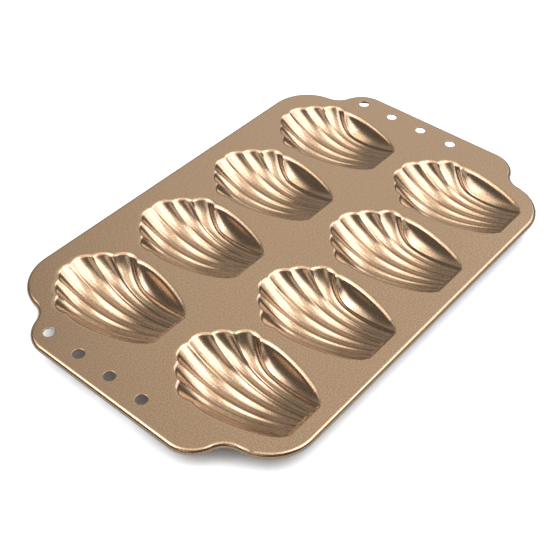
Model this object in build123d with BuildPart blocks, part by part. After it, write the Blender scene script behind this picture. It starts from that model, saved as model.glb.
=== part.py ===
from build123d import *
import math
import os

# Madeleine pan: one steel sheet pressed into eight fluted shell wells, its edge rolled under, with a
# pierced tab at each end. X runs along the pan, Y across it towards the scalloped ends of the wells,
# Z is up, and the origin is the centre of the flat top face.

# Sheet and outline. The shoulder is how far the body stands out past a tab on each side.
sheet = 0.8
corner_radius = 25.7
tab_reach = 18.6
tab_radius = 17.2
notch_radius = 11.4
shoulder = 30.6

# Rolled edge
curl_radius = 2.0
curl_turn = 255.0

# Row of holes in each tab
hole_radius = 3.0
hole_count = 4
hole_pitch = 21.5
hole_inset = 10.4
hole_row_middle = 15.5

# Layout of the wells: the webs of flat sheet between their mouths and the margins round them
columns = 4
rows = 2
column_web = 9.6
row_web = 13.1
end_margin = 5.8
narrow_margin = 9.55
fan_margin = 13.95

# One well, measured at the mouth. Its flat narrow end is at y = 0 and its middle ridge meets the mouth
# at y = well_length.
well_length = 73.0
well_width = 50.4
narrow_width = 26.4
ridge_depth = 12.3
end_slope = 45.0
widest_share = 0.58
side_power = 1.6
lip_radius = 1.0

# The ridges between the flutes, from the middle one outwards. Along the well each ridge dips from the
# narrow end to its deepest station and climbs again, one run further on, to a cusp in the mouth.
deepest_shares = (0.518, 0.497, 0.477, 0.456)
fan_run_shares = (0.482, 0.446, 0.361, 0.212)
tail_run_shares = (0.568, 0.523, 0.503, 0.446)
depth_shares = (1.0, 0.965, 0.915, 0.74)
fan_powers = (2.0, 2.0, 2.5, 2.2)
tail_power = 1.8

# Across the well each ridge starts at a share of the narrow end and spreads towards the fan.
start_shares = (0.0, 0.28, 0.54, 0.86)
spread_shares = (0.0, 0.289, 0.449, 0.449)
flare_shares = (0.0, 0.024, 0.078, 0.24)

# The bow of each flute as a share of its chord, at mid length and at the fan
bow_mid_shares = (0.17, 0.17, 0.16, 0.10)
bow_fan_shares = (0.20, 0.17, 0.07, 0.10)
bow_start_share = 0.5
bow_run_share = 0.4

# The wall's top edge above the mouth, the stations of the sections and the step that measures a slope
wall_lift = 2.3
wall_lean = 1.2
station_shares = (-0.06, 0.05, 0.16, 0.28, 0.40, 0.51, 0.61, 0.70, 0.79, 0.88, 0.97, 1.07)
slope_step_share = 0.002

# One overrun serves every cut.
overrun = 5.0

# The pan is as long and as wide as its wells, webs and margins add up to.
column_pitch = well_width + column_web
row_pitch = well_length + row_web
row_middle = (narrow_margin - fan_margin) / 2
body_length = (columns - 1) * column_pitch + well_width + 2 * end_margin
body_width = (rows - 1) * row_pitch + well_length + narrow_margin + fan_margin
tab_width = body_width - 2 * shoulder

outer_ridge = len(depth_shares) - 1
last_cusp = (deepest_shares[outer_ridge] + fan_run_shares[outer_ridge]) * well_length


# Shape of one well

def ridge(index, y):
    """Point (x, z) of a ridge on the +X half of the well, at station y."""
    run = (y / well_length - deepest_shares[index]) / fan_run_shares[index]
    if run < 0:
        tail = -run * fan_run_shares[index] / tail_run_shares[index]
        depth = 1 - tail**tail_power
        bend = 0
    elif run < 1:
        depth = 1 - run ** fan_powers[index]
        bend = run**2
    else:
        depth = -fan_powers[index] * (run - 1)
        bend = 2 * run - 1
    spread = spread_shares[index] * y / well_length + flare_shares[index] * bend
    x = start_shares[index] * narrow_width / 2 + spread * well_width / 2
    return Vector(x, -depth * depth_shares[index] * ridge_depth)


def wall_top(y):
    """Top edge of the side wall. Past the last cusp it runs on beside the outermost ridge."""
    station = min(y, last_cusp)
    narrowing = max(0, 1 - station / (widest_share * well_length))
    half_width = well_width / 2 - (well_width - narrow_width) / 2 * narrowing**side_power
    top = Vector(half_width + wall_lean, wall_lift)
    return top + ridge(outer_ridge, max(y, last_cusp)) - ridge(outer_ridge, last_cusp)


def corners(y):
    """Ridges and wall top of the +X half, from the middle outwards."""
    return [ridge(index, y) for index in range(outer_ridge + 1)] + [wall_top(y)]


def bow_share(index, y):
    """Bow of a flute over its chord, which changes evenly from mid length to the fan."""
    blend = min(max((y / well_length - bow_start_share) / bow_run_share, 0), 1)
    return bow_mid_shares[index] + (bow_fan_shares[index] - bow_mid_shares[index]) * blend


def steepness(index, y):
    """How much longer a wall's thickness measures in a section than square to the sloping wall."""
    step = slope_step_share * well_length
    rise = (corners(y + step)[index].Y - corners(y - step)[index].Y) / (2 * step)
    return math.hypot(1, rise)


def half_section(y, wall):
    """Corners and flute bottoms of the +X half at station y, moved outwards by a wall's thickness."""
    points = corners(y)
    bottoms = []
    starts = []
    ends = []
    for index in range(len(points) - 1):
        chord = points[index + 1] - points[index]
        outward = Vector(chord.Y, -chord.X).normalized()
        share = bow_share(index, y)
        turn = math.degrees(2 * math.atan(2 * share))
        thickness = wall * (steepness(index, y) + steepness(index + 1, y)) / 2
        middle = (points[index] + points[index + 1]) / 2
        bottoms.append(middle + outward * (share * chord.length + thickness))
        starts.append(outward.rotate(Axis.Z, -turn))
        ends.append(outward.rotate(Axis.Z, turn))
    before = [Vector(-starts[0].X, starts[0].Y)] + ends
    after = starts + [ends[-1]]
    moved = []
    for index, point in enumerate(points):
        mitre = (before[index] + after[index]) / (1 + before[index].dot(after[index]))
        moved.append(point + mitre * wall * steepness(index, y))
    return moved, bottoms


def mirrored(point):
    return Vector(-point.X, point.Y)


def fluted_body(wall):
    """Loft of the whole well, moved outwards by a wall's thickness and running on above the mouth."""
    with BuildPart() as body:
        for share in station_shares:
            y = share * well_length
            points, bottoms = half_section(y, wall)
            rim = points[-1]
            with BuildSketch(Plane.XZ.offset(-y)):
                with BuildLine():
                    for index in reversed(range(len(bottoms))):
                        ThreePointArc(
                            mirrored(points[index + 1]), mirrored(bottoms[index]), mirrored(points[index])
                        )
                    for index in range(len(bottoms)):
                        ThreePointArc(points[index], bottoms[index], points[index + 1])
                    Line(rim, (rim.X, rim.Y + overrun))
                    Line((rim.X, rim.Y + overrun), (-rim.X, rim.Y + overrun))
                    Line((-rim.X, rim.Y + overrun), mirrored(rim))
                make_face()
        loft()
    return body.part


slope = math.radians(end_slope)
end_wall = Plane(origin=(0, 0, 0), x_dir=(1, 0, 0), z_dir=(0, math.sin(slope), math.cos(slope)))

with BuildPart() as hollow:
    add(fluted_body(0))
    split(bisect_by=end_wall, keep=Keep.TOP)

with BuildPart() as well:
    add(fluted_body(sheet))
    split(bisect_by=end_wall.offset(-sheet), keep=Keep.TOP)
    add(hollow.part, mode=Mode.SUBTRACT)
    split(bisect_by=Plane.XY.offset(-sheet), keep=Keep.BOTTOM)


# Outline of the sheet

def outline(inset):
    """Edge of the pan moved in by the inset: body corner, notch and tab corner are tangent arcs."""
    corner = Vector(body_length / 2 - corner_radius, body_width / 2 - corner_radius)
    tab = Vector(body_length / 2 + tab_reach - tab_radius, tab_width / 2 - tab_radius)
    line = tab - corner
    to_corner = corner_radius + notch_radius
    to_tab = tab_radius + notch_radius
    along = (to_corner**2 - to_tab**2 + line.length**2) / (2 * line.length)
    across = math.sqrt(to_corner**2 - along**2)
    direction = line.normalized()
    notch = corner + direction * along + direction.rotate(Axis.Z, 90) * across
    corner_turn = math.degrees(math.atan2(notch.Y - corner.Y, notch.X - corner.X))
    tab_turn = math.degrees(math.atan2(notch.Y - tab.Y, notch.X - tab.X))
    half_width = body_width / 2 - inset
    with BuildLine() as edge:
        Line((0, half_width), (corner.X, half_width))
        CenterArc(corner, corner_radius - inset, 90, corner_turn - 90)
        CenterArc(notch, notch_radius + inset, corner_turn + 180, tab_turn - corner_turn)
        CenterArc(tab, tab_radius - inset, tab_turn, -tab_turn)
        Line((tab.X + tab_radius - inset, tab.Y), (tab.X + tab_radius - inset, 0))
        mirror(about=Plane.XZ)
        mirror(about=Plane.YZ)
    return edge.line


# The flat sheet lies inside the curl. Every well opens through it with a rounded lip.
tab_end = body_length / 2 + tab_reach

with BuildPart() as pressing:
    with BuildSketch(Plane.XY):
        with BuildLine():
            add(outline(curl_radius))
        make_face()
        for side in (-1, 1):
            with Locations((side * (tab_end - hole_inset), hole_row_middle)):
                with GridLocations(0, hole_pitch, 1, hole_count):
                    Circle(hole_radius, mode=Mode.SUBTRACT)
    extrude(amount=-sheet)
    with Locations((0, row_middle - well_length / 2, 0)):
        with GridLocations(column_pitch, row_pitch, columns, rows):
            add(hollow.part, mode=Mode.SUBTRACT)
    top_face = pressing.faces().filter_by(Axis.Z).sort_by(Axis.Z)[-1]
    mouths = [wire for wire in top_face.inner_wires() if wire.length > well_length]
    fillet([edge for wire in mouths for edge in wire.edges()], lip_radius)

# The sheet falls into a deck and two tabs at the ends of the body.
with BuildPart() as deck:
    add(pressing.part)
    split(bisect_by=Plane.YZ.offset(body_length / 2), keep=Keep.BOTTOM)
    split(bisect_by=Plane.YZ.offset(-body_length / 2), keep=Keep.TOP)

with BuildPart() as tab_right:
    add(pressing.part)
    split(bisect_by=Plane.YZ.offset(body_length / 2), keep=Keep.TOP)

with BuildPart() as tab_left:
    add(pressing.part)
    split(bisect_by=Plane.YZ.offset(-body_length / 2), keep=Keep.BOTTOM)

# The edge is rolled outwards, down and back under. Its section starts on the edge of the flat sheet.
edge_path = outline(curl_radius)
roll_start = Plane(origin=(0, body_width / 2 - curl_radius, 0), x_dir=(0, 1, 0), z_dir=(1, 0, 0))

with BuildPart() as curl:
    with BuildLine():
        add(edge_path)
    with BuildSketch(roll_start):
        with BuildLine():
            roll = CenterArc((0, -curl_radius), curl_radius, 90, -curl_turn)
            inside = CenterArc((0, -curl_radius), curl_radius - sheet, 90, -curl_turn)
            Line(roll @ 0, inside @ 0)
            Line(roll @ 1, inside @ 1)
        make_face()
    sweep()

with BuildPart() as curl_sides:
    add(curl.part)
    split(bisect_by=Plane.YZ.offset(body_length / 2), keep=Keep.BOTTOM)
    split(bisect_by=Plane.YZ.offset(-body_length / 2), keep=Keep.TOP)

with BuildPart() as curl_back:
    add(curl_sides.part)
    split(bisect_by=Plane.XZ, keep=Keep.BOTTOM)

with BuildPart() as curl_front:
    add(curl_sides.part)
    split(bisect_by=Plane.XZ, keep=Keep.TOP)

with BuildPart() as curl_right:
    add(curl.part)
    split(bisect_by=Plane.YZ.offset(body_length / 2), keep=Keep.TOP)

with BuildPart() as curl_left:
    add(curl.part)
    split(bisect_by=Plane.YZ.offset(-body_length / 2), keep=Keep.BOTTOM)

deck.part.label = "deck"
tab_right.part.label = "tab_right"
tab_left.part.label = "tab_left"
curl_back.part.label = "curl_back"
curl_front.part.label = "curl_front"
curl_right.part.label = "curl_right"
curl_left.part.label = "curl_left"

pieces = [
    deck.part,
    tab_right.part,
    tab_left.part,
    curl_back.part,
    curl_front.part,
    curl_right.part,
    curl_left.part,
]

# The wells hang under the deck, numbered by row from the front and by column from the left.
for row in range(rows):
    for column in range(columns):
        x = (column - (columns - 1) / 2) * column_pitch
        y = (row - (rows - 1) / 2) * row_pitch + row_middle - well_length / 2
        with BuildPart() as placed_well:
            with Locations((x, y, 0)):
                add(well.part)
        placed_well.part.label = f"well_{row + 1}_{column + 1}"
        pieces.append(placed_well.part)

os.makedirs("parts", exist_ok=True)
for piece in pieces:
    export_step(piece, f"parts/{piece.label}.step")
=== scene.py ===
import bpy
import numpy as np
from mathutils import Matrix, Vector, geometry


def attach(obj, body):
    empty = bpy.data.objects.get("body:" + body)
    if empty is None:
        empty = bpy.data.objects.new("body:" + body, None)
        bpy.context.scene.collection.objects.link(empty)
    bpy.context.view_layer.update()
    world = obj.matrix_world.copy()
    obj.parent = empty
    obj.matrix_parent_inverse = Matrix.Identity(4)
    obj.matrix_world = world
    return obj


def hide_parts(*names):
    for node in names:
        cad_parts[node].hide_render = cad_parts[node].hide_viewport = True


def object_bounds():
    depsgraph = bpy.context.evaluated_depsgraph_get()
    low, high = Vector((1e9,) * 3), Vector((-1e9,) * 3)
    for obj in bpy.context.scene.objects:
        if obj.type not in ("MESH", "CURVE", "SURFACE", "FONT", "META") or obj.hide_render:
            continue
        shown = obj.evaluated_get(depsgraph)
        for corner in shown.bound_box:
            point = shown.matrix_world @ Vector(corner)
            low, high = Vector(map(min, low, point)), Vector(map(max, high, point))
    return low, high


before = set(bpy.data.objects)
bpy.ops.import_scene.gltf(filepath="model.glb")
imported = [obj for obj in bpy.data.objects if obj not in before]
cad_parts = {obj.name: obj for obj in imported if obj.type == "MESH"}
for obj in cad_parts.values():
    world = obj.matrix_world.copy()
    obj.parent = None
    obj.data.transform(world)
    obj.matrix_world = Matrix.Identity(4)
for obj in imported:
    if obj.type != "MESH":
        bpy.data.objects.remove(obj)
cad_low, cad_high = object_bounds()

# Coating
# The pan's one finish: a champagne-gold non-stick enamel with fine metal flakes in it, sprayed on the
# pressed sheet and baked. It is a little uneven, as any sprayed coat is.
coat_colour = (0.445, 0.292, 0.175, 1.0)
coat_dark_colour = (0.365, 0.234, 0.134, 1.0)
flake_light_colour = (0.55, 0.372, 0.236, 1.0)
coat_evenness = 0.1
flake_size = 0.00075
flake_detail = 1.0
cloud_size = 0.030
cloud_detail = 2.0
noise_low = 0.30
noise_high = 0.70
coat_roughness = 0.20
roughness_spread = 0.03
clear_weight = 0.8
clear_roughness = 0.2
clear_index = 1.6
grain_strength = 0.05
grain_height = 0.0001


def speckle_group():
    """Fine flakes over broad soft clouds: a fleck mask, a cloud mask and a bump height, all from noise."""
    group = bpy.data.node_groups.new("Speckle", "ShaderNodeTree")
    for name, value in (("Fleck Size", flake_size), ("Cloud Size", cloud_size)):
        socket = group.interface.new_socket(name, in_out="INPUT", socket_type="NodeSocketFloat")
        socket.default_value = value
    for name in ("Flecks", "Clouds", "Height"):
        group.interface.new_socket(name, in_out="OUTPUT", socket_type="NodeSocketFloat")
    nodes, links = group.nodes, group.links
    entry = nodes.new("NodeGroupInput")
    leave = nodes.new("NodeGroupOutput")
    place = nodes.new("ShaderNodeTexCoord")
    for index, (name, detail) in enumerate((("Flecks", flake_detail), ("Clouds", cloud_detail))):
        scale = nodes.new("ShaderNodeMath")
        scale.operation = "DIVIDE"
        scale.inputs[0].default_value = 1.0
        links.new(entry.outputs[index], scale.inputs[1])
        noise = nodes.new("ShaderNodeTexNoise")
        noise.inputs["Detail"].default_value = detail
        links.new(place.outputs["Object"], noise.inputs["Vector"])
        links.new(scale.outputs[0], noise.inputs["Scale"])
        spread = nodes.new("ShaderNodeMapRange")
        spread.inputs["From Min"].default_value = noise_low
        spread.inputs["From Max"].default_value = noise_high
        links.new(noise.outputs["Fac"], spread.inputs["Value"])
        links.new(spread.outputs["Result"], leave.inputs[name])
        if name == "Flecks":
            links.new(spread.outputs["Result"], leave.inputs["Height"])
    return group


def coating():
    """Satin metal under a clear skin: the flecks mix a dark and a light tone, the clouds vary the gloss."""
    material = bpy.data.materials.new("champagne_coating")
    material.use_nodes = True
    nodes, links = material.node_tree.nodes, material.node_tree.links
    shader = nodes["Principled BSDF"]
    shader.inputs["Metallic"].default_value = 1.0
    shader.inputs["Coat Weight"].default_value = clear_weight
    shader.inputs["Coat Roughness"].default_value = clear_roughness
    shader.inputs["Coat IOR"].default_value = clear_index
    speckle = nodes.new("ShaderNodeGroup")
    speckle.node_tree = speckle_group()
    fleck_mix = nodes.new("ShaderNodeMix")
    fleck_mix.data_type = "RGBA"
    fleck_mix.inputs["A"].default_value = coat_dark_colour
    fleck_mix.inputs["B"].default_value = flake_light_colour
    links.new(speckle.outputs["Flecks"], fleck_mix.inputs["Factor"])
    even_mix = nodes.new("ShaderNodeMix")
    even_mix.data_type = "RGBA"
    even_mix.inputs["Factor"].default_value = coat_evenness
    even_mix.inputs["B"].default_value = coat_colour
    links.new(fleck_mix.outputs["Result"], even_mix.inputs["A"])
    links.new(even_mix.outputs["Result"], shader.inputs["Base Color"])
    gloss = nodes.new("ShaderNodeMapRange")
    gloss.inputs["To Min"].default_value = coat_roughness - roughness_spread
    gloss.inputs["To Max"].default_value = coat_roughness + roughness_spread
    links.new(speckle.outputs["Clouds"], gloss.inputs["Value"])
    links.new(gloss.outputs["Result"], shader.inputs["Roughness"])
    bump = nodes.new("ShaderNodeBump")
    bump.inputs["Strength"].default_value = grain_strength
    bump.inputs["Distance"].default_value = grain_height
    links.new(speckle.outputs["Height"], bump.inputs["Height"])
    links.new(bump.outputs["Normal"], shader.inputs["Normal"])
    return material


champagne = coating()

# Shell wells
# Each well is drawn into the sheet by a fluted punch: eight rounded flutes fan out from a narrow sloped
# end, with soft ridges between them. The sheet turns over a round lip into the deck, full along the
# sides and the fan and thin at the narrow end.
sheet = 0.0008
columns = 4
rows = 2
column_pitch = 0.060
row_pitch = 0.0861
row_middle = -0.0022
well_length = 0.073
well_width = 0.0504
wall_width = 0.0486
wall_end_width = 0.0280
narrow_width = 0.0264
ridge_depth = 0.01175
end_rise_per_run = 1.28
widest_share = 0.58
side_power = 1.6

# The ridges of one half, from the middle ridge outwards; the other half mirrors them.
deepest_shares = (0.518, 0.497, 0.477, 0.456)
fan_run_shares = (0.482, 0.446, 0.353, 0.212)
tail_run_shares = (0.568, 0.523, 0.503, 0.446)
depth_shares = (1.0, 0.965, 0.915, 0.74)
fan_powers = (2.3, 2.3, 2.6, 2.2)
tail_power = 1.8
start_shares = (0.0, 0.28, 0.54, 0.86)
spread_shares = (0.0, 0.289, 0.449, 0.449)
flare_shares = (0.0, 0.024, 0.078, 0.205)
bow_mid_shares = (0.24, 0.24, 0.22, 0.12)
bow_fan_shares = (0.18, 0.16, 0.08, 0.10)
bow_start_share = 0.55
bow_run_share = 0.4
half_flutes = len(depth_shares)
outer_ridge = half_flutes - 1
last_cusp = (deepest_shares[outer_ridge] + fan_run_shares[outer_ridge]) * well_length

# The walls and the rounds, and the grid on which the rounds are rolled.
wall_lift = 0.0023
wall_lean = 0.0012
lip_radius = 0.0034
end_lip_radius = 0.0009
end_lip_run = 0.0070
ridge_radius = 0.0005
foot_radius = 0.0010
lip_fade_top = -0.0008
lip_fade_bottom = -0.0045
height_cap = 0.004
grid_step = 0.000165
patch_half_width = 0.02838
patch_start = -0.00264
patch_end = 0.0792
narrow_cut = 0.0099
fan_cut = 0.0165
mesh_step = 2
top_passes = 2
under_passes = 1
sharp_angle = np.radians(50)


def ridge_line(index, y):
    """Across and height of a ridge at stations y: it dips as 1 - run^power both ways from its deepest."""
    run = (y / well_length - deepest_shares[index]) / fan_run_shares[index]
    tail = np.clip(-run, 0, None) * fan_run_shares[index] / tail_run_shares[index]
    fan = np.clip(run, 0, 1)
    past = np.clip(run - 1, 0, None)
    depth = 1 - tail**tail_power - fan ** fan_powers[index] - fan_powers[index] * past
    bend = fan**2 + 2 * past
    spread = spread_shares[index] * y / well_length + flare_shares[index] * bend
    across = start_shares[index] * narrow_width / 2 + spread * well_width / 2
    return across, -depth * depth_shares[index] * ridge_depth


def wall_line(y):
    """Across and height of the side wall's top; past the last cusp it keeps beside the outer ridge."""
    narrowing = np.clip(1 - np.minimum(y, last_cusp) / (widest_share * well_length), 0, None)
    across = wall_width / 2 - (wall_width - wall_end_width) / 2 * narrowing**side_power + wall_lean
    now = ridge_line(outer_ridge, np.maximum(y, last_cusp))
    then = ridge_line(outer_ridge, last_cusp)
    return across + now[0] - then[0], wall_lift + now[1] - then[1]


def flute_heights(x, y):
    """Height of the fluted wall: between two ridges, the lower arc of the circle whose bow is given."""
    lines = [ridge_line(index, y) for index in range(half_flutes)] + [wall_line(y)]
    blend = np.clip((y / well_length - bow_start_share) / bow_run_share, 0, 1)
    half = np.abs(x)
    heights = np.full(np.broadcast(x, y).shape, height_cap)
    for index in range(half_flutes):
        (x0, z0), (x1, z1) = lines[index], lines[index + 1]
        bow = bow_mid_shares[index] + (bow_fan_shares[index] - bow_mid_shares[index]) * blend
        chord = np.hypot(x1 - x0, z1 - z0)
        radius = chord * (1 / (8 * bow) + bow / 2)
        lift = radius - bow * chord
        centre_x = (x0 + x1) / 2 - (z1 - z0) / chord * lift
        centre_z = (z0 + z1) / 2 + (x1 - x0) / chord * lift
        arc = centre_z - np.sqrt(np.clip(radius**2 - (half - centre_x) ** 2, 0, None))
        heights = np.where((half >= x0) & (half < x1), arc, heights)
    return np.minimum(heights, height_cap)


def rolled(heights, radius, sign):
    """Envelope of a ball of that radius rolled along the heights: above them for +1, below for -1."""
    reach = int(radius / grid_step)
    best = None
    for i in range(-reach, reach + 1):
        for j in range(-reach, reach + 1):
            away = radius**2 - (i * i + j * j) * grid_step**2
            if away < 0:
                continue
            moved = sign * np.roll(heights, (i, j), (0, 1)) + away**0.5
            best = moved if best is None else np.maximum(best, moved)
    return sign * best


def rounded(heights, radius):
    """Convex edges turned to that radius: the heights lowered by a rolling ball and raised again."""
    return rolled(rolled(heights, radius, -1), radius, 1)


def smoothed(heights, passes):
    """Heights averaged with their neighbours, 1-2-1 both ways, as a coat of enamel levels them."""
    for _ in range(passes):
        for axis in (0, 1):
            heights = (np.roll(heights, 1, axis) + 2 * heights + np.roll(heights, -1, axis)) / 4
    return heights


def well_surface():
    """Top and underside heights of one well on its grid: the higher of the flutes and the sloped end, its
    corners and ridges rounded, and the lip's radius growing from the narrow end's to the full one. The
    underside is the envelope of a ball of the sheet's thickness rolled along the top."""
    across = int(round(patch_half_width / grid_step))
    along = int(round((patch_end - patch_start) / grid_step))
    x = (np.arange(2 * across + 1) - across) * grid_step
    y = patch_start + np.arange(along + 1) * grid_step
    x, y = np.meshgrid(x, y, indexing="ij")
    fluted = np.maximum(flute_heights(x, y), np.clip(-y * end_rise_per_run, None, height_cap))
    footed = -rounded(-fluted, foot_radius)
    crested = rounded(footed, ridge_radius)
    pressed = np.minimum(crested, 0)
    full = np.clip(y / end_lip_run, 0, 1) ** 2
    lipped = rounded(pressed, end_lip_radius) * (1 - full) + rounded(pressed, lip_radius) * full
    fade = np.clip((pressed - lip_fade_bottom) / (lip_fade_top - lip_fade_bottom), 0, 1)
    fade = fade * fade * (3 - 2 * fade)
    top = smoothed(pressed + (lipped - pressed) * fade, top_passes)
    under = smoothed(rolled(top, sheet, -1), under_passes)
    return [values[::mesh_step, ::mesh_step] for values in (x, y, top, under)]


def closed_mesh(name, points, faces):
    """A mesh of the points and faces, smooth but for its sharp edges, finished with the coating."""
    mesh = bpy.data.meshes.new(name)
    mesh.from_pydata(points, [], faces)
    mesh.validate()
    mesh.polygons.foreach_set("use_smooth", np.ones(len(mesh.polygons), dtype=bool))
    mesh.set_sharp_from_angle(angle=sharp_angle)
    mesh.materials.append(champagne)
    piece = bpy.data.objects.new(name, mesh)
    bpy.context.scene.collection.objects.link(piece)
    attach(piece, "root")
    return piece


def patch_topology(wide, long, low_cut, high_cut):
    """Faces and border of a wide x long grid whose corners are cut at 45 degrees, by steps at each end."""
    number = np.arange(wide * long).reshape(wide, long)
    i, j = np.meshgrid(np.arange(wide - 1), np.arange(long - 1), indexing="ij")
    from_left, from_right = i, wide - 2 - i
    from_low, from_high = j, long - 2 - j
    quads = np.stack([number[:-1, :-1], number[1:, :-1], number[1:, 1:], number[:-1, 1:]], -1)
    whole = np.ones(i.shape, dtype=bool)
    faces = []
    for steps, cut, corner in (
        (from_left + from_low, low_cut, 0),
        (from_right + from_low, low_cut, 1),
        (from_right + from_high, high_cut, 2),
        (from_left + from_high, high_cut, 3),
    ):
        whole &= steps >= cut
        faces += np.delete(quads[steps == cut - 1], corner, 1).tolist()
    faces += quads[whole].tolist()
    low, high = np.arange(low_cut), np.arange(high_cut)
    last_i, last_j = wide - 1, long - 1
    border = np.concatenate([
        number[low_cut:last_i - low_cut, 0],
        number[last_i - low_cut + low, low],
        number[last_i, low_cut:last_j - high_cut],
        number[last_i - high, last_j - high_cut + high],
        number[last_i - high_cut:high_cut:-1, last_j],
        number[high_cut - high, last_j - high],
        number[0, last_j - high_cut:low_cut:-1],
        number[low, low_cut - low],
    ])
    return faces, border


well_x, well_y, well_top, well_under = well_surface()
cut_steps = [int(round(cut / grid_step / mesh_step)) for cut in (narrow_cut, fan_cut)]
well_faces, well_border = patch_topology(*well_x.shape, *cut_steps)
well_border_points = np.stack([well_x.ravel()[well_border], well_y.ravel()[well_border]], -1)
well_places = [
    (
        (column - (columns - 1) / 2) * column_pitch,
        (row - (rows - 1) / 2) * row_pitch + row_middle - well_length / 2,
    )
    for row in range(rows)
    for column in range(columns)
]

count = well_x.size
used = np.unique(np.concatenate([np.asarray(face) for face in well_faces]))
renumber = np.full(2 * count, -1)
renumber[used] = np.arange(len(used))
renumber[used + count] = np.arange(len(used)) + len(used)
shell_faces = [renumber[face].tolist() for face in well_faces]
shell_faces += [renumber[np.asarray(face)[::-1] + count].tolist() for face in well_faces]
after = np.roll(well_border, -1)
walls = np.stack([well_border, well_border + count, after + count, after], -1)
shell_faces += renumber[walls].tolist()
for number, (place_x, place_y) in enumerate(well_places):
    points = np.concatenate([
        np.stack([well_x + place_x, well_y + place_y, well_top], -1).reshape(-1, 3)[used],
        np.stack([well_x + place_x, well_y + place_y, well_under], -1).reshape(-1, 3)[used],
    ])
    row, column = divmod(number, columns)
    shell = closed_mesh(f"shell_{row + 1}_{column + 1}", points, shell_faces)
    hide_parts(f"well_{row + 1}_{column + 1}")

# Deck and tabs
# The flat of the same sheet, between the wells and out over the two end tabs. Four round holes are
# punched in each tab, and their edges keep the small burr-free round that the coat gives them. A
# narrow ring of faces round each hole keeps the flat shaded flat up to that edge.
body_length = 0.2420
body_width = 0.1826
corner_radius = 0.0257
tab_reach = 0.0186
tab_width = 0.1214
tab_radius = 0.0172
notch_radius = 0.0114
hole_radius = 0.0030
hole_count = 4
hole_pitch = 0.0215
hole_inset = 0.0104
hole_row_middle = 0.0155
hole_edge_radius = 0.0003
hole_margin = 0.0004
hole_facets = 48
hole_turns = 5
merge_distance = 1e-9
outline_step = 0.0006
curl_radius = 0.0020


def outline(inset):
    """Points round the pan's edge, moved in by the inset, with the outward normal of each: a quarter of
    tab arc, notch arc touching both and corner arc, mirrored three times."""
    corner = np.array([body_length / 2 - corner_radius, body_width / 2 - corner_radius])
    tab = np.array([body_length / 2 + tab_reach - tab_radius, tab_width / 2 - tab_radius])
    line = tab - corner
    span = np.hypot(*line)
    to_corner, to_tab = corner_radius + notch_radius, tab_radius + notch_radius
    along = (to_corner**2 - to_tab**2 + span**2) / (2 * span)
    aside = np.sqrt(to_corner**2 - along**2)
    notch = corner + line / span * along + np.array([-line[1], line[0]]) / span * aside
    corner_turn = np.arctan2(*(notch - corner)[::-1])
    tab_turn = np.arctan2(*(notch - tab)[::-1])
    points, normals = [], []
    for centre, radius, first, last, way in (
        (tab, tab_radius, 0.0, tab_turn, 1),
        (notch, notch_radius, tab_turn + np.pi, corner_turn + np.pi, -1),
        (corner, corner_radius, corner_turn, np.pi / 2, 1),
    ):
        angles = np.linspace(first, last, int(np.ceil(abs(last - first) * radius / outline_step)) + 1)
        if points:
            angles = angles[1:]
        direction = np.stack([np.cos(angles), np.sin(angles)], -1)
        points.append(centre + direction * (radius - way * inset))
        normals.append(direction * way)
    points, normals = np.concatenate(points), np.concatenate(normals)
    turned = [(points, normals)]
    for flip in ((-1, 1), (-1, -1), (1, -1)):
        order = -1 if flip[0] * flip[1] < 0 else 1
        turned.append((points[::order] * flip, normals[::order] * flip))
    return np.concatenate([t[0] for t in turned]), np.concatenate([t[1] for t in turned])


def inside(points, loop):
    """Whether each point lies inside the closed loop, by counting the edges crossed on the way out."""
    crossings = np.zeros(len(points), dtype=int)
    for (ax, ay), (bx, by) in zip(loop, np.roll(loop, -1, 0)):
        level = (ay > points[:, 1]) != (by > points[:, 1])
        with np.errstate(divide="ignore", invalid="ignore"):
            reach = ax + (points[:, 1] - ay) / (by - ay) * (bx - ax)
        crossings += level & (points[:, 0] < reach)
    return crossings % 2 == 1


hole_reach = body_length / 2 + tab_reach - hole_inset
hole_places = [
    (side * hole_reach, hole_row_middle + (k - (hole_count - 1) / 2) * hole_pitch)
    for side in (-1, 1)
    for k in range(hole_count)
]
hole_angles = np.linspace(0, 2 * np.pi, hole_facets, endpoint=False)
hole_ring = np.stack([np.cos(hole_angles), np.sin(hole_angles)], -1)
edge_points = outline(curl_radius)[0]
well_loops = [well_border_points + place for place in well_places]
hole_loops = [hole_ring * (hole_radius + hole_edge_radius) + place for place in hole_places]
margin_loops = [hole_ring * (hole_radius + hole_edge_radius + hole_margin) + place for place in hole_places]
loops = [edge_points, *well_loops, *hole_loops, *margin_loops]
flat_points = np.concatenate(loops)
flat_edges = []
first = 0
for loop in loops:
    index = np.arange(len(loop))
    flat_edges += np.stack([first + index, first + (index + 1) % len(loop)], -1).tolist()
    first += len(loop)
flat = geometry.delaunay_2d_cdt([Vector(p) for p in flat_points], flat_edges, [], 0, merge_distance)
flat_points = np.array([v[:] for v in flat[0]])
flat_faces = np.array(flat[2])
middles = flat_points[flat_faces].mean(1)
keep = inside(middles, edge_points)
for loop in well_loops + hole_loops:
    keep &= ~inside(middles, loop)
flat_faces = flat_faces[keep]
deck_points = np.concatenate([
    np.column_stack([flat_points, np.zeros(len(flat_points))]),
    np.column_stack([flat_points, np.full(len(flat_points), -sheet)]),
])
deck_faces = flat_faces.tolist() + (flat_faces[:, ::-1] + len(flat_points)).tolist()
directed = np.concatenate([flat_faces[:, [0, 1]], flat_faces[:, [1, 2]], flat_faces[:, [2, 0]]])
pairs = {tuple(edge) for edge in directed.tolist()}
rim_edges = np.array([edge for edge in pairs if edge[::-1] not in pairs])
hole_start = len(edge_points) + sum(len(loop) for loop in well_loops)
rim_edges = rim_edges[(rim_edges < hole_start).all(1)]
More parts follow.
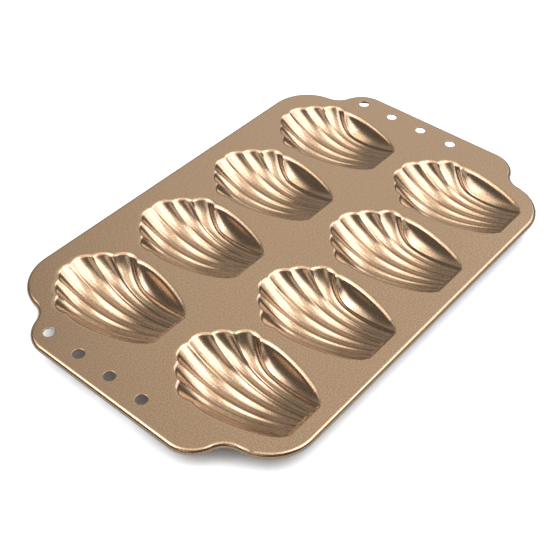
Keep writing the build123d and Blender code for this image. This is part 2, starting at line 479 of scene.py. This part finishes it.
deck_faces += np.stack([
    rim_edges[:, 0], rim_edges[:, 0] + len(flat_points), rim_edges[:, 1] + len(flat_points), rim_edges[:, 1]
], -1).tolist()

# A punched hole's wall: a small round over its top edge, straight down, a small round out below.
turns = np.linspace(0, np.pi / 2, hole_turns)
wall_radii = hole_radius + hole_edge_radius * (1 - np.sin(turns))
wall_heights = hole_edge_radius * (np.cos(turns) - 1)
wall_radii = np.concatenate([wall_radii, wall_radii[::-1]])
wall_heights = np.concatenate([wall_heights, -sheet - wall_heights[::-1]])
for number, place in enumerate(hole_places):
    top_ring = hole_start + number * len(hole_ring) + np.arange(len(hole_ring))
    rings = [top_ring]
    for radius, height in zip(wall_radii[1:-1], wall_heights[1:-1]):
        rings.append(len(deck_points) + np.arange(len(hole_ring)))
        ring = np.column_stack([hole_ring * radius + place, np.full(len(hole_ring), height)])
        deck_points = np.concatenate([deck_points, ring])
    rings.append(top_ring + len(flat_points))
    for upper, lower in zip(rings, rings[1:]):
        deck_faces += np.stack([upper, np.roll(upper, -1), np.roll(lower, -1), lower], -1).tolist()
deck = closed_mesh("deck_sheet", deck_points, deck_faces)
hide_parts("deck", "tab_right", "tab_left")

# Rolled edge
# The sheet's edge is curled outwards, down and back under itself, all the way round, so that the rim is
# stiff and no cut edge shows. Its section is an arc out to the curl's turn, and back along the arc one
# sheet inside it.
curl_turn = 255.0
curl_stations = 33
edge_line, edge_normals = outline(curl_radius)
curl_angles = np.radians(90 - np.linspace(0, curl_turn, curl_stations))
section = np.concatenate([
    np.stack([curl_radius * np.cos(curl_angles), curl_radius * (np.sin(curl_angles) - 1)], -1),
    np.stack([
        (curl_radius - sheet) * np.cos(curl_angles[::-1]),
        (curl_radius - sheet) * np.sin(curl_angles[::-1]) - curl_radius,
    ], -1),
])
rim_points = np.concatenate([
    edge_line[:, None, :] + edge_normals[:, None, :] * section[None, :, :1],
    np.broadcast_to(section[None, :, 1:], (len(edge_line), len(section), 1)),
], -1)
ring_count, section_count = len(edge_line), len(section)
number = np.arange(ring_count * section_count).reshape(ring_count, section_count)
ahead = np.roll(number, -1, 0)
beside = np.roll(number, -1, 1)
rim_faces = np.stack([number, beside, np.roll(ahead, -1, 1), ahead], -1).reshape(-1, 4)
rim = closed_mesh("rolled_edge", rim_points.reshape(-1, 3), rim_faces.tolist())
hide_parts("curl_back", "curl_front", "curl_right", "curl_left")

# Floor
# A plain pale table that reads as white to the camera. The lamps cast the pan's shadow on it, and its glow
# is also dimmed by ambient occlusion as a painted shadow, deep close under the sheet and fading within a
# few centimetres.
floor_size = 3.0
floor_height = cad_low[2]
floor_colour = (0.92, 0.90, 0.87, 1.0)
floor_glow = 0.78
glow_colour = (1.0, 1.0, 1.0, 1.0)
# How far the painted shadow reaches, and the occlusion levels where it is darkest and where it ends.
shadow_reach = 0.03
shadow_core = 0.16
shadow_edge = 0.66
floor_points = [
    (x * floor_size, y * floor_size, floor_height)
    for x, y in ((-1, -1), (1, -1), (1, 1), (-1, 1))
]
floor_mesh = bpy.data.meshes.new("floor")
floor_mesh.from_pydata(floor_points, [], [(0, 1, 2, 3)])
floor_paint = bpy.data.materials.new("pale_floor")
floor_paint.use_nodes = True
floor_nodes, floor_links = floor_paint.node_tree.nodes, floor_paint.node_tree.links
floor_shader = floor_nodes["Principled BSDF"]
floor_shader.inputs["Base Color"].default_value = floor_colour
floor_shader.inputs["Roughness"].default_value = 1.0
floor_shader.inputs["Emission Color"].default_value = glow_colour
floor_path = floor_nodes.new("ShaderNodeLightPath")
floor_level = floor_nodes.new("ShaderNodeMath")
floor_level.operation = "MULTIPLY"
floor_level.inputs[1].default_value = floor_glow
floor_links.new(floor_path.outputs["Is Camera Ray"], floor_level.inputs[0])
# Painted shadow: the floor's glow is turned down where the pan shuts in the floor.
floor_open = floor_nodes.new("ShaderNodeAmbientOcclusion")
floor_open.inputs["Distance"].default_value = shadow_reach
painted_floor_shadow = floor_nodes.new("ShaderNodeMapRange")
painted_floor_shadow.interpolation_type = "SMOOTHSTEP"
painted_floor_shadow.inputs["From Min"].default_value = shadow_core
painted_floor_shadow.inputs["From Max"].default_value = shadow_edge
floor_links.new(floor_open.outputs["AO"], painted_floor_shadow.inputs["Value"])
floor_links.new(floor_level.outputs[0], painted_floor_shadow.inputs["To Max"])
floor_links.new(painted_floor_shadow.outputs[0], floor_shader.inputs["Emission Strength"])
floor_mesh.materials.append(floor_paint)
floor = bpy.data.objects.new("floor", floor_mesh)
bpy.context.scene.collection.objects.link(floor)

# Light
# A soft studio, as the satin metal mirrors it: a dim room with six pale screens round the pan, and three
# soft boxes, in front, on the right and behind on the left. The camera itself sees plain white. Each
# screen has its direction, the angles where its full part ends and its fade ends, and its level.
background_level = 1.0
room_light = 0.30
room_white = (1.0, 1.0, 1.0, 1.0)
room_warm = (1.0, 0.965, 0.90, 1.0)
room_dim = 0.17
daylight = (0.92, 1.0, 1.13)
lamp_distance = 1.2
screens = (
    ("overhead", (0.0, 0.0, 1.0), 16, 34, 1.70),
    ("far_end", (0.66, 0.34, 0.67), 10, 35, 0.90),
    ("back", (-0.20, 0.49, 0.85), 14, 28, 2.30),
    ("left", (-0.80, -0.14, 0.59), 6, 20, 1.00),
    ("low_back", (0.31, 0.86, 0.41), 10, 30, 0.40),
    ("front", (0.52, -0.41, 0.75), 16, 34, 1.50),
)
world = bpy.data.worlds.new("studio")
bpy.context.scene.world = world
world.use_nodes = True
room_nodes, room_links = world.node_tree.nodes, world.node_tree.links
room = room_nodes["Background"]
room_path = room_nodes.new("ShaderNodeLightPath")
room_tone = room_nodes.new("ShaderNodeMix")
room_tone.data_type = "RGBA"
room_tone.inputs["A"].default_value = room_white
room_tone.inputs["B"].default_value = room_warm
room_links.new(room_path.outputs["Is Glossy Ray"], room_tone.inputs["Factor"])
room_links.new(room_tone.outputs["Result"], room.inputs["Color"])
room_place = room_nodes.new("ShaderNodeTexCoord")
mirrored = None
for name, direction, inner, outer, level in screens:
    toward = room_nodes.new("ShaderNodeVectorMath")
    toward.operation = "DOT_PRODUCT"
    toward.inputs[1].default_value = Vector(direction).normalized()
    room_links.new(room_place.outputs["Generated"], toward.inputs[0])
    screen = room_nodes.new("ShaderNodeMapRange")
    screen.name = name
    screen.interpolation_type = "SMOOTHSTEP"
    screen.inputs["From Min"].default_value = np.cos(np.radians(outer))
    screen.inputs["From Max"].default_value = np.cos(np.radians(inner))
    screen.inputs["To Min"].default_value = room_dim
    screen.inputs["To Max"].default_value = level
    room_links.new(toward.outputs["Value"], screen.inputs["Value"])
    brighter = room_nodes.new("ShaderNodeMath")
    brighter.operation = "MAXIMUM"
    brighter.inputs[1].default_value = room_dim
    room_links.new(screen.outputs["Result"], brighter.inputs[0])
    if mirrored:
        room_links.new(mirrored.outputs[0], brighter.inputs[1])
    mirrored = brighter
mirror_level = room_nodes.new("ShaderNodeMix")
mirror_level.inputs["A"].default_value = room_light
room_links.new(room_path.outputs["Is Glossy Ray"], mirror_level.inputs["Factor"])
room_links.new(mirrored.outputs[0], mirror_level.inputs["B"])
camera_level = room_nodes.new("ShaderNodeMix")
camera_level.inputs["B"].default_value = background_level
room_links.new(room_path.outputs["Is Camera Ray"], camera_level.inputs["Factor"])
room_links.new(mirror_level.outputs["Result"], camera_level.inputs["A"])
room_links.new(camera_level.outputs["Result"], room.inputs["Strength"])


def soft_box(name, direction, size, power):
    """A square lamp along the direction, turned to face the pan's middle."""
    lamp = bpy.data.lights.new(name, "AREA")
    lamp.color = daylight
    lamp.size = size
    lamp.energy = power
    box = bpy.data.objects.new(name, lamp)
    aim = Vector(direction).normalized()
    box.location = aim * lamp_distance
    box.rotation_euler = aim.to_track_quat("Z", "Y").to_euler()
    bpy.context.scene.collection.objects.link(box)


soft_box("front", (0.25, -0.43, 0.87), 0.80, 5.2)
soft_box("right", (0.72, -0.10, 0.68), 0.50, 1.5)
soft_box("back_left", (-0.51, 0.39, 0.77), 0.66, 3.6)

# Camera
# Stands in front of the near left corner and above it, as in the photograph, and looks down at 44
# degrees with the same lens and a slight roll.
photo_size = 560
focal_pixels = 989.064
aim_point = Vector((-0.02765, -0.01462, 0.0))
camera_distance = 0.51175
camera_azimuth = np.radians(-50.443)
camera_elevation = np.radians(44.351)
camera_roll = np.radians(0.747)

back = Vector((
    np.sin(camera_azimuth) * np.cos(camera_elevation),
    -np.cos(camera_azimuth) * np.cos(camera_elevation),
    np.sin(camera_elevation),
))
right = Vector((np.cos(camera_azimuth), np.sin(camera_azimuth), 0.0))
up = back.cross(right)
right, up = (
    right * np.cos(camera_roll) + up * np.sin(camera_roll),
    up * np.cos(camera_roll) - right * np.sin(camera_roll),
)
camera_data = bpy.data.cameras.new("camera")
camera_data.lens = focal_pixels / photo_size * camera_data.sensor_width
camera = bpy.data.objects.new("camera", camera_data)
turn = Matrix((right, up, back)).transposed().to_4x4()
camera.matrix_world = Matrix.Translation(aim_point + back * camera_distance) @ turn
bpy.context.scene.collection.objects.link(camera)
bpy.context.scene.camera = camera
bpy.context.scene.view_settings.view_transform = "Standard"
